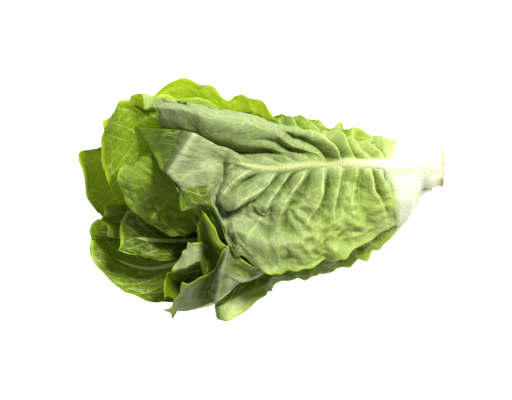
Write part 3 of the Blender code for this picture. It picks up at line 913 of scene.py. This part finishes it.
def leaf_finish(name, blade, deep, bloom=BLOOM):
    """Veins are lines in the leaf's plane, and every other change follows one of the leaf's attributes."""
    f = Finish(name)
    side, along, out = f.attribute("side"), f.attribute("along"), f.attribute("out")
    phase, net, edge, rib = f.attribute("phase"), f.attribute("net"), f.attribute("edge"), f.attribute("rib")
    glow, shade, crest = f.attribute("glow"), f.attribute("shade"), f.attribute("crest")
    plane = f.add("UVMap", {"uv_map": "leaf_plane"})
    spot = f.add("TexCoord", out=OBJECT_COORDINATES)
    blotch = f.add("TexNoise", {}, {"Vector": spot, "Scale": 38.0, "Detail": 3.0})
    mottle = f.add("TexNoise", {}, {"Vector": spot, "Scale": 330.0, "Detail": 4.0})
    leather = f.add("TexNoise", {}, {"Vector": spot, "Scale": 130.0, "Detail": 2.0})
    flat = {"noise_dimensions": "2D"}
    wander = f.add("TexNoise", flat, {"Vector": plane, "Scale": 9.0, "Detail": 2.0}, out=1)
    bent = f.add("VectorMath", {"operation": "MULTIPLY_ADD"}, {0: wander, 1: (0.05, 0.05, 0.0), 2: plane})
    edges = {"voronoi_dimensions": "2D", "feature": "DISTANCE_TO_EDGE"}
    small = f.add("TexVoronoi", edges, {"Vector": bent, "Scale": 19.0})
    tiny = f.add("TexVoronoi", edges, {"Vector": bent, "Scale": 55.0})
    fraction = f.add("Math", {"operation": "PINGPONG"}, {0: phase, 1: 0.5})
    lateral = f.rise(fraction, 0.005, 0.045, 1.0, 0.0) * f.rise(out, 0.1, 0.6, 1.0, 0.6) * (1.0 - 0.45 * side)
    netting = f.rise(net, 0.0001, 0.0007, 0.6, 0.0) * f.rise(out, 0.004, 0.05) * (1.0 - 0.5 * side)
    fine = (f.rise(small, 0.0, 0.06, 0.30, 0.0) + f.rise(tiny, 0.0, 0.08, 0.12, 0.0)) * (1.0 - 0.5 * side)
    veins = f.add("Math", {"operation": "MAXIMUM"}, {0: lateral, 1: netting})
    veins = f.add("Math", {"operation": "MAXIMUM"}, {0: veins, 1: fine}) * f.rise(edge, 0.001, 0.010)
    # shade deepens the green: partly a leaf's own tone and partly painted shade; a negative one is painted
    # light.
    green = f.mixed(f.rise(along + 0.35 * blotch + shade, 0.55, 1.20), blade, deep)
    green = f.mixed(0.45 * f.rise(mottle, 0.4, 0.75), green, blade)
    dusty = f.rise(along + 0.5 * blotch, 0.35, 0.95, 0.45, 0.92) * f.rise(mottle, 0.35, 0.60, 0.80, 1.0)
    green = f.mixed(side * dusty, green, bloom)
    # Looks over 1 mix in pale wax; in the top leaves' zones this paints highlights on ridges and lit facets.
    green = f.mixed(f.rise(side, 1.0, 2.0, 0.0, 1.0), green, PALE_WAX_AND_HIGHLIGHT)
    # Painted shade: the green deepens where the relief dips, in dents and between pleats.
    green = f.mixed(f.rise(crest, -0.9, 0.1, 0.55, 0.0), green, deep)
    green = f.mixed(0.75 * veins, green, VEIN)
    green = f.mixed(f.rise(edge, 0.0005, 0.0060, 0.75, 0.0), green, MARGIN)
    young = f.rise(along + shade - 0.5 * out + 0.10 * blotch, 0.10, 0.42, 1.0, 0.0)
    green = f.mixed(0.55 * young, green, YOUNG)
    white = f.rise(f.attribute("white") + 0.6 * blotch + 0.2 * lateral, 0.30, 1.25)
    colour = f.mixed(white, green, WHITE)
    rib_colour = f.mixed(f.rise(along, 0.14, 0.45), RIB_BASE, RIB_TIP)
    rib_colour = f.mixed((1.0 - side) * f.rise(along, 0.30, 0.60), rib_colour, RIB_INSIDE)
    colour = f.mixed(f.rise(rib, 0.50, 1.20, 1.0, 0.0), colour, rib_colour)
    forward = f.add("SeparateXYZ", {}, {0: spot}) - ORIGIN[0]
    cut_end = f.rise(forward + 0.003 * mottle, -0.0030, -0.0015, 0.0, 0.6)
    colour = f.mixed(cut_end, colour, CUT_BROWN)
    beads = f.add("TexWave", {"bands_direction": "X"}, {
        "Vector": plane, "Scale": 13.0, "Distortion": 3.0, "Detail": 2.0, "Detail Scale": 2.0}, out=1)
    rough = f.rise(side, 0.0, 1.0, 0.30, 0.38) + 0.14 * mottle
    grain = 0.8 * beads * f.rise(rib, 0.4, 1.0, 1.0, 0.0) + 0.4 * mottle + 0.7 * leather
    grain = grain + 0.7 * f.rise(small, 0.0, 0.25) + 0.3 * f.rise(tiny, 0.0, 0.25)
    normal = f.add("Bump", {}, {"Strength": 0.35, "Distance": 0.0008, "Height": grain})
    skin = f.add("BsdfPrincipled", {}, {
        "Base Color": colour, "Roughness": rough, "Normal": normal, "Specular IOR Level": 0.34, "IOR": 1.42})
    through = f.add("BsdfTranslucent", {}, {"Color": LIGHT_THROUGH, "Normal": normal})
    thin = glow * f.rise(rib, 0.6, 1.6, 0.4, 1.0) * f.rise(along, 0.12, 0.40, 0.3, 1.0) * (1.0 - 0.85 * white)
    both = f.add("MixShader", {}, {0: thin, 1: skin, 2: through})
    f.add("OutputMaterial", {}, {"Surface": both})
    return f.material


FINISHES = {
    "outer_leaf": leaf_finish("outer_leaf", (0.25, 0.345, 0.016), (0.08, 0.135, 0.003)),
    "middle_leaf": leaf_finish("middle_leaf", (0.24, 0.35, 0.012), (0.075, 0.13, 0.004), (0.27, 0.33, 0.10)),
    "heart_leaf": leaf_finish("heart_leaf", (0.42, 0.52, 0.09), (0.30, 0.42, 0.04), (0.40, 0.48, 0.18)),
}
print("finishes:", sorted(FINISHES))


# %% [markdown]
# ## Building the leaves
#
# Now every leaf is built, from the heart outwards, because each one is laid over those inside it. On the
# real head they also grew that way round: the innermost leaf is the youngest. Each is laid on the lattice,
# bent by its cage if it has one, given a ragged margin, its relief and its thickness, and marked as taken.
# Modelling one leaf and copying it would be quicker, but no two leaves of a head are alike.

# %% One leaf
EDGE_THINNING = 0.0025
CLEARANCE = 0.001
FINE_SCALLOPS = 0.0016
WIDE_SCALLOPS = 0.003
TIP_UNEVENNESS = 0.002
PLANE_SCALE = 10.0
CREST_SCALE = 0.004


def arc_from_midrib(points):
    """Signed distance of each point from the midrib, measured along its row over the sheet."""
    steps = np.linalg.norm(np.diff(points, axis=1), axis=-1)
    run = np.concatenate([np.zeros((len(points), 1)), np.cumsum(steps, axis=1)], axis=1)
    return run - run[:, [points.shape[1] // 2]]


def within(x, low, high):
    """1 between low and high and 0 outside, with a soft change at both."""
    return smoothstep(x, low, low + LOOK_SOFTNESS) * (1.0 - smoothstep(x, high - LOOK_SOFTNESS, high))


def make_leaf(leaf, taken):
    """One leaf as a closed shell. The inner face carries the relief, and the outer one lies over it.

    The base is white where the distance from the butt, with a share of the distance from the midrib, is
    short. On the leaf on top the share grows where the blade starts, so that white stays near the midrib.
    """
    rows, columns = leaf.detail[0] + 1, leaf.detail[1] + 1
    closer_at_base = np.linspace(0.0, 1.0, rows) ** 1.12
    s, v = np.meshgrid(closer_at_base, np.linspace(-1.0, 1.0, columns), indexing="ij")
    field, slack = lay(leaf, taken)
    length = leaf.reach - leaf.start
    x, w = length * s, width_at(leaf, s) * v
    a, theta = place(leaf, s, v)
    lift = CLEARANCE * smoothstep(s, 0.1, 0.3)
    smooth = point_at(a, theta, read(field, a, theta) + lift)
    if leaf.number in CAGES:
        smooth = shaped(leaf, s, v, smooth)
    w = arc_from_midrib(smooth)
    along, across = directions(smooth)
    scallop = FINE_SCALLOPS * leaf.frill * waves(x, w, 0.014, leaf.number + 60)
    scallop = scallop + WIDE_SCALLOPS * waves(x, w, 0.040, leaf.number + 70)
    smooth = smooth + across * (scallop * smoothstep(s, 0.1, 0.3) * v * np.abs(v) ** 5)[..., None]
    uneven_tip = TIP_UNEVENNESS * waves(w, x, 0.025, leaf.number + 80) * smoothstep(s, 0.85, 1.0)
    smooth = smooth + along * uneven_tip[..., None]
    edge = np.minimum((1.0 - np.abs(v)) * width_at(leaf, s), (1.0 - s) * length)
    height, net = relief(leaf, s, v, x, w, edge)
    if leaf.number not in CAGES:
        height = np.maximum(height, -read(slack, a, theta) - lift)
    inner = smooth + normals_of(smooth) * height[..., None]
    normal = normals_of(inner)
    thick = thickness(leaf, s, w) * (0.35 + 0.65 * smoothstep(edge, 0.0, EDGE_THINNING))
    outer = inner + normal * thick[..., None]
    taken = mark(taken, outer)
    rib_width = 0.0015 + 0.0055 * (1.0 - s) ** 1.5
    both = {
        "along": s, "out": np.abs(w) * PLANE_SCALE, "phase": vein_phase(leaf, x, w), "net": net, "edge": edge,
        "rib": np.abs(w) / rib_width + 3.0 * smoothstep(s, leaf.rib, leaf.rib + 0.12),
    }
    attributes = {key: np.concatenate([values.ravel()] * 2) for key, values in both.items()}
    attributes["glow"] = np.full(2 * rows * columns, leaf.glow)
    from_butt = ORIGIN[0] - smooth[..., 0]
    if leaf.number == TOP_LEAF:
        white = 1.0 - smoothstep(4.0 * from_butt + 4.5 * smoothstep(s, 0.10, 0.30) * np.abs(w), 0.12, 0.27)
    else:
        white = 1.0 - smoothstep(4.0 * from_butt + 0.5 * np.abs(w), 0.12, 0.20)
    attributes["white"] = np.concatenate([white.ravel()] * 2)
    side = np.stack([np.full_like(s, leaf.bloom), np.zeros_like(s)])
    # LOOKS zones set the look on both faces; on the two top leaves some of them are painted light and shade.
    for s_low, s_high, v_low, v_high, look in LOOKS.get(leaf.number, ()):
        zone = within(s, s_low, s_high) * within(v, v_low, v_high)
        side = side + zone * (look - side)
    attributes["side"] = side.ravel()
    # shade deepens a leaf's green: partly its own tone and partly painted shade; a negative one is painted
    # light.
    attributes["shade"] = np.full(2 * rows * columns, leaf.shade)
    # crest is the relief's height, which the finish uses to paint shade in dents and valleys.
    attributes["crest"] = np.concatenate([(height / CREST_SCALE).ravel()] * 2)
    uv = np.stack([x.ravel(), w.ravel()], axis=1) * PLANE_SCALE + 1.0
    points = np.concatenate([outer.reshape(-1, 3), inner.reshape(-1, 3)])
    faces = shell_faces(rows, columns)
    piece = make_mesh(leaf.node + "_blade", points, faces, attributes, np.tile(uv, (2, 1)))
    piece.data.materials.append(FINISHES[leaf.slot])
    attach(piece, "root")
    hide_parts(leaf.node)
    return piece, taken


# %% All leaves, from the heart outwards
STEM_CLEARANCE = 1.05
taken = np.where(lattice_a < STEM_LENGTH, STEM_CLEARANCE * stem_radius(lattice_a), 0.0)
blades = {}
for leaf in reversed(LEAVES):
    blades[leaf.number], taken = make_leaf(leaf, taken)
print("triangles:", sum(2 * len(piece.data.polygons) for piece in blades.values()))

# %% [markdown]
# ## The stem
#
# The stem is a short tapering bar of firm white flesh inside the head. Only its cut end shows, and its rim
# has turned brown in the air. It is one profile turned round the head's bent axis, with slow waves round
# it where leaves were joined. A cylinder with a bevel could stand in, but it wouldn't follow the axis.

# %% Stem
FLAT_SHARE = 0.93
RIM_DEPTH = 0.0012
STEM_CELLS_ROUND = 96
OFF_THE_CUT = 2.0


def make_stem():
    """A bar along the head's axis. Its profile runs from the middle of the cut, over the rim, to the tip.

    The rim is a quarter of an ellipse. The side flares at the cut, bulges where the leaves join, and has slow
    waves round it.
    """
    turn_in = np.linspace(0.0, 1.0, 6)[1:] * math.pi / 2
    rim_share = FLAT_SHARE + (1.0 - FLAT_SHARE) * np.sin(turn_in)
    rim_a = RIM_DEPTH * (1.0 - np.cos(turn_in))
    side_a = np.linspace(RIM_DEPTH, STEM_LENGTH, 60)[1:]
    a = np.concatenate([np.zeros(12), rim_a, side_a, np.full(5, STEM_LENGTH)])
    cut_share = np.linspace(0.0, FLAT_SHARE, 12)
    tip_share = np.linspace(1.0, 0.0, 6)[1:]
    share = np.concatenate([cut_share, rim_share, np.ones_like(side_a), tip_share])
    around = np.arange(STEM_CELLS_ROUND) * FULL_TURN / STEM_CELLS_ROUND
    aa, tt = np.meshgrid(a, around, indexing="ij")
    ss = np.broadcast_to(share[:, None], aa.shape)
    bulge = 0.22 * smoothstep(aa, 0.002, 0.013) * (1.0 - smoothstep(aa, 0.020, 0.040))
    lumps = 0.02 * np.sin(3 * tt + 1.0) + 0.012 * np.sin(7 * tt + 60 * aa)
    r = stem_radius(aa) * ss * (1.0 + 0.08 * np.exp(-aa / 0.004) + bulge + lumps)
    points = point_at(aa, tt, r)
    rows, columns = aa.shape
    index = np.arange(rows * columns).reshape(rows, columns)
    after = np.roll(index, -1, axis=1)
    faces = np.stack([index[:-1].ravel(), index[1:].ravel(), after[1:].ravel(), after[:-1].ravel()], axis=1)
    attributes = {"cut": np.where(aa < RIM_DEPTH + 0.0001, ss, OFF_THE_CUT), "depth": aa}
    uv = np.stack([tt.ravel() / FULL_TURN, aa.ravel() * PLANE_SCALE], axis=1)
    return make_mesh("stem_bar", points.reshape(-1, 3), faces, attributes, uv)


def stem_finish():
    """White flesh in two tones, and rust on the rim: strong near the cut, and broken up by noise."""
    f = Finish("stem")
    cut, depth = f.attribute("cut"), f.attribute("depth")
    spot = f.add("TexCoord", out=OBJECT_COORDINATES)
    blotch = f.add("TexNoise", {}, {"Vector": spot, "Scale": 120.0, "Detail": 4.0})
    rust = f.rise(depth + 0.006 * blotch, 0.0045, 0.0080, 1.0, 0.0) * f.rise(cut, 0.75, 0.95)
    rust = rust * f.rise(blotch, 0.40, 0.60, 0.15, 0.85)
    flesh = f.mixed(f.rise(blotch, 0.3, 0.7), (0.60, 0.61, 0.46), (0.52, 0.55, 0.35))
    colour = f.mixed(rust, flesh, CUT_BROWN)
    normal = f.add("Bump", {}, {"Strength": 0.4, "Distance": 0.0005, "Height": blotch})
    skin = f.add("BsdfPrincipled", {}, {"Base Color": colour, "Roughness": 0.45, "Normal": normal})
    f.add("OutputMaterial", {}, {"Surface": skin})
    return f.material


stem_piece = make_stem()
stem_piece.data.materials.append(stem_finish())
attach(stem_piece, "root")
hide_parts("stem")
print("stem:", len(stem_piece.data.polygons), "faces")

# %% [markdown]
# ## Floor, light and camera
#
# The head lies on a plain white surface under soft light from one side and above, as on a studio table. The
# floor glows a little, so that shadows stay faint and light comes back up under the leaves. A light tent
# with many lamps would be closer to a studio, but one large lamp and a white world give the same look. The
# camera looks straight down through a long lens, which keeps the outline flat.

# %% Studio
FLOOR_HALF = 3
VIEW_WIDTH = 0.41984
VIEW_MIDDLE = (-0.0064, -0.0002)
FOCUS_HEIGHT = 0.045


def make_floor():
    """A white square under the head, which belongs to the stage and not to the part."""
    mesh = bpy.data.meshes.new("floor")
    corners = [(x * FLOOR_HALF, y * FLOOR_HALF, 0) for x, y in ((-1, -1), (1, -1), (1, 1), (-1, 1))]
    mesh.from_pydata(corners, [], [(0, 1, 2, 3)])
    floor = bpy.data.objects.new("floor", mesh)
    bpy.context.scene.collection.objects.link(floor)
    f = Finish("floor")
    skin = f.add("BsdfPrincipled", {}, {
        "Base Color": (0.6, 0.6, 0.6, 1.0), "Roughness": 0.8,
        "Emission Color": (1.0, 1.0, 1.0, 1.0), "Emission Strength": 0.8})
    f.add("OutputMaterial", {}, {"Surface": skin})
    mesh.materials.append(f.material)


def add_light(name, place, aim, size, power):
    """A round lamp at place, turned so that it shines towards aim."""
    light = bpy.data.lights.new(name, "AREA")
    light.shape = "DISK"
    light.size = size
    light.energy = power
    lamp = bpy.data.objects.new(name, light)
    bpy.context.scene.collection.objects.link(lamp)
    lamp.location = place
    direction = np.subtract(aim, place)
    lamp.rotation_mode = "QUATERNION"
    lamp.rotation_quaternion = mathutils.Vector(direction).to_track_quat("-Z", "Y")


make_floor()
add_light("key", (0.55, 0.72, 1.20), (0, 0, 0.05), 0.42, 43.0)
world = bpy.data.worlds.new("studio")
bpy.context.scene.world = world
world.use_nodes = True
world.node_tree.nodes["Background"].inputs["Color"].default_value = (1.0, 1.0, 1.0, 1.0)
world.node_tree.nodes["Background"].inputs["Strength"].default_value = 0.36

camera = bpy.data.cameras.new("camera")
camera.lens = 200.0
camera.sensor_width = 36.0
eye = bpy.data.objects.new("camera", camera)
bpy.context.scene.collection.objects.link(eye)
eye.location = (*VIEW_MIDDLE, FOCUS_HEIGHT + VIEW_WIDTH * camera.lens / camera.sensor_width)
bpy.context.scene.camera = eye
bpy.context.scene.view_settings.view_transform = "Standard"
bpy.context.scene.view_settings.look = "Medium High Contrast"
print("camera height, m:", round(eye.location.z, 3))
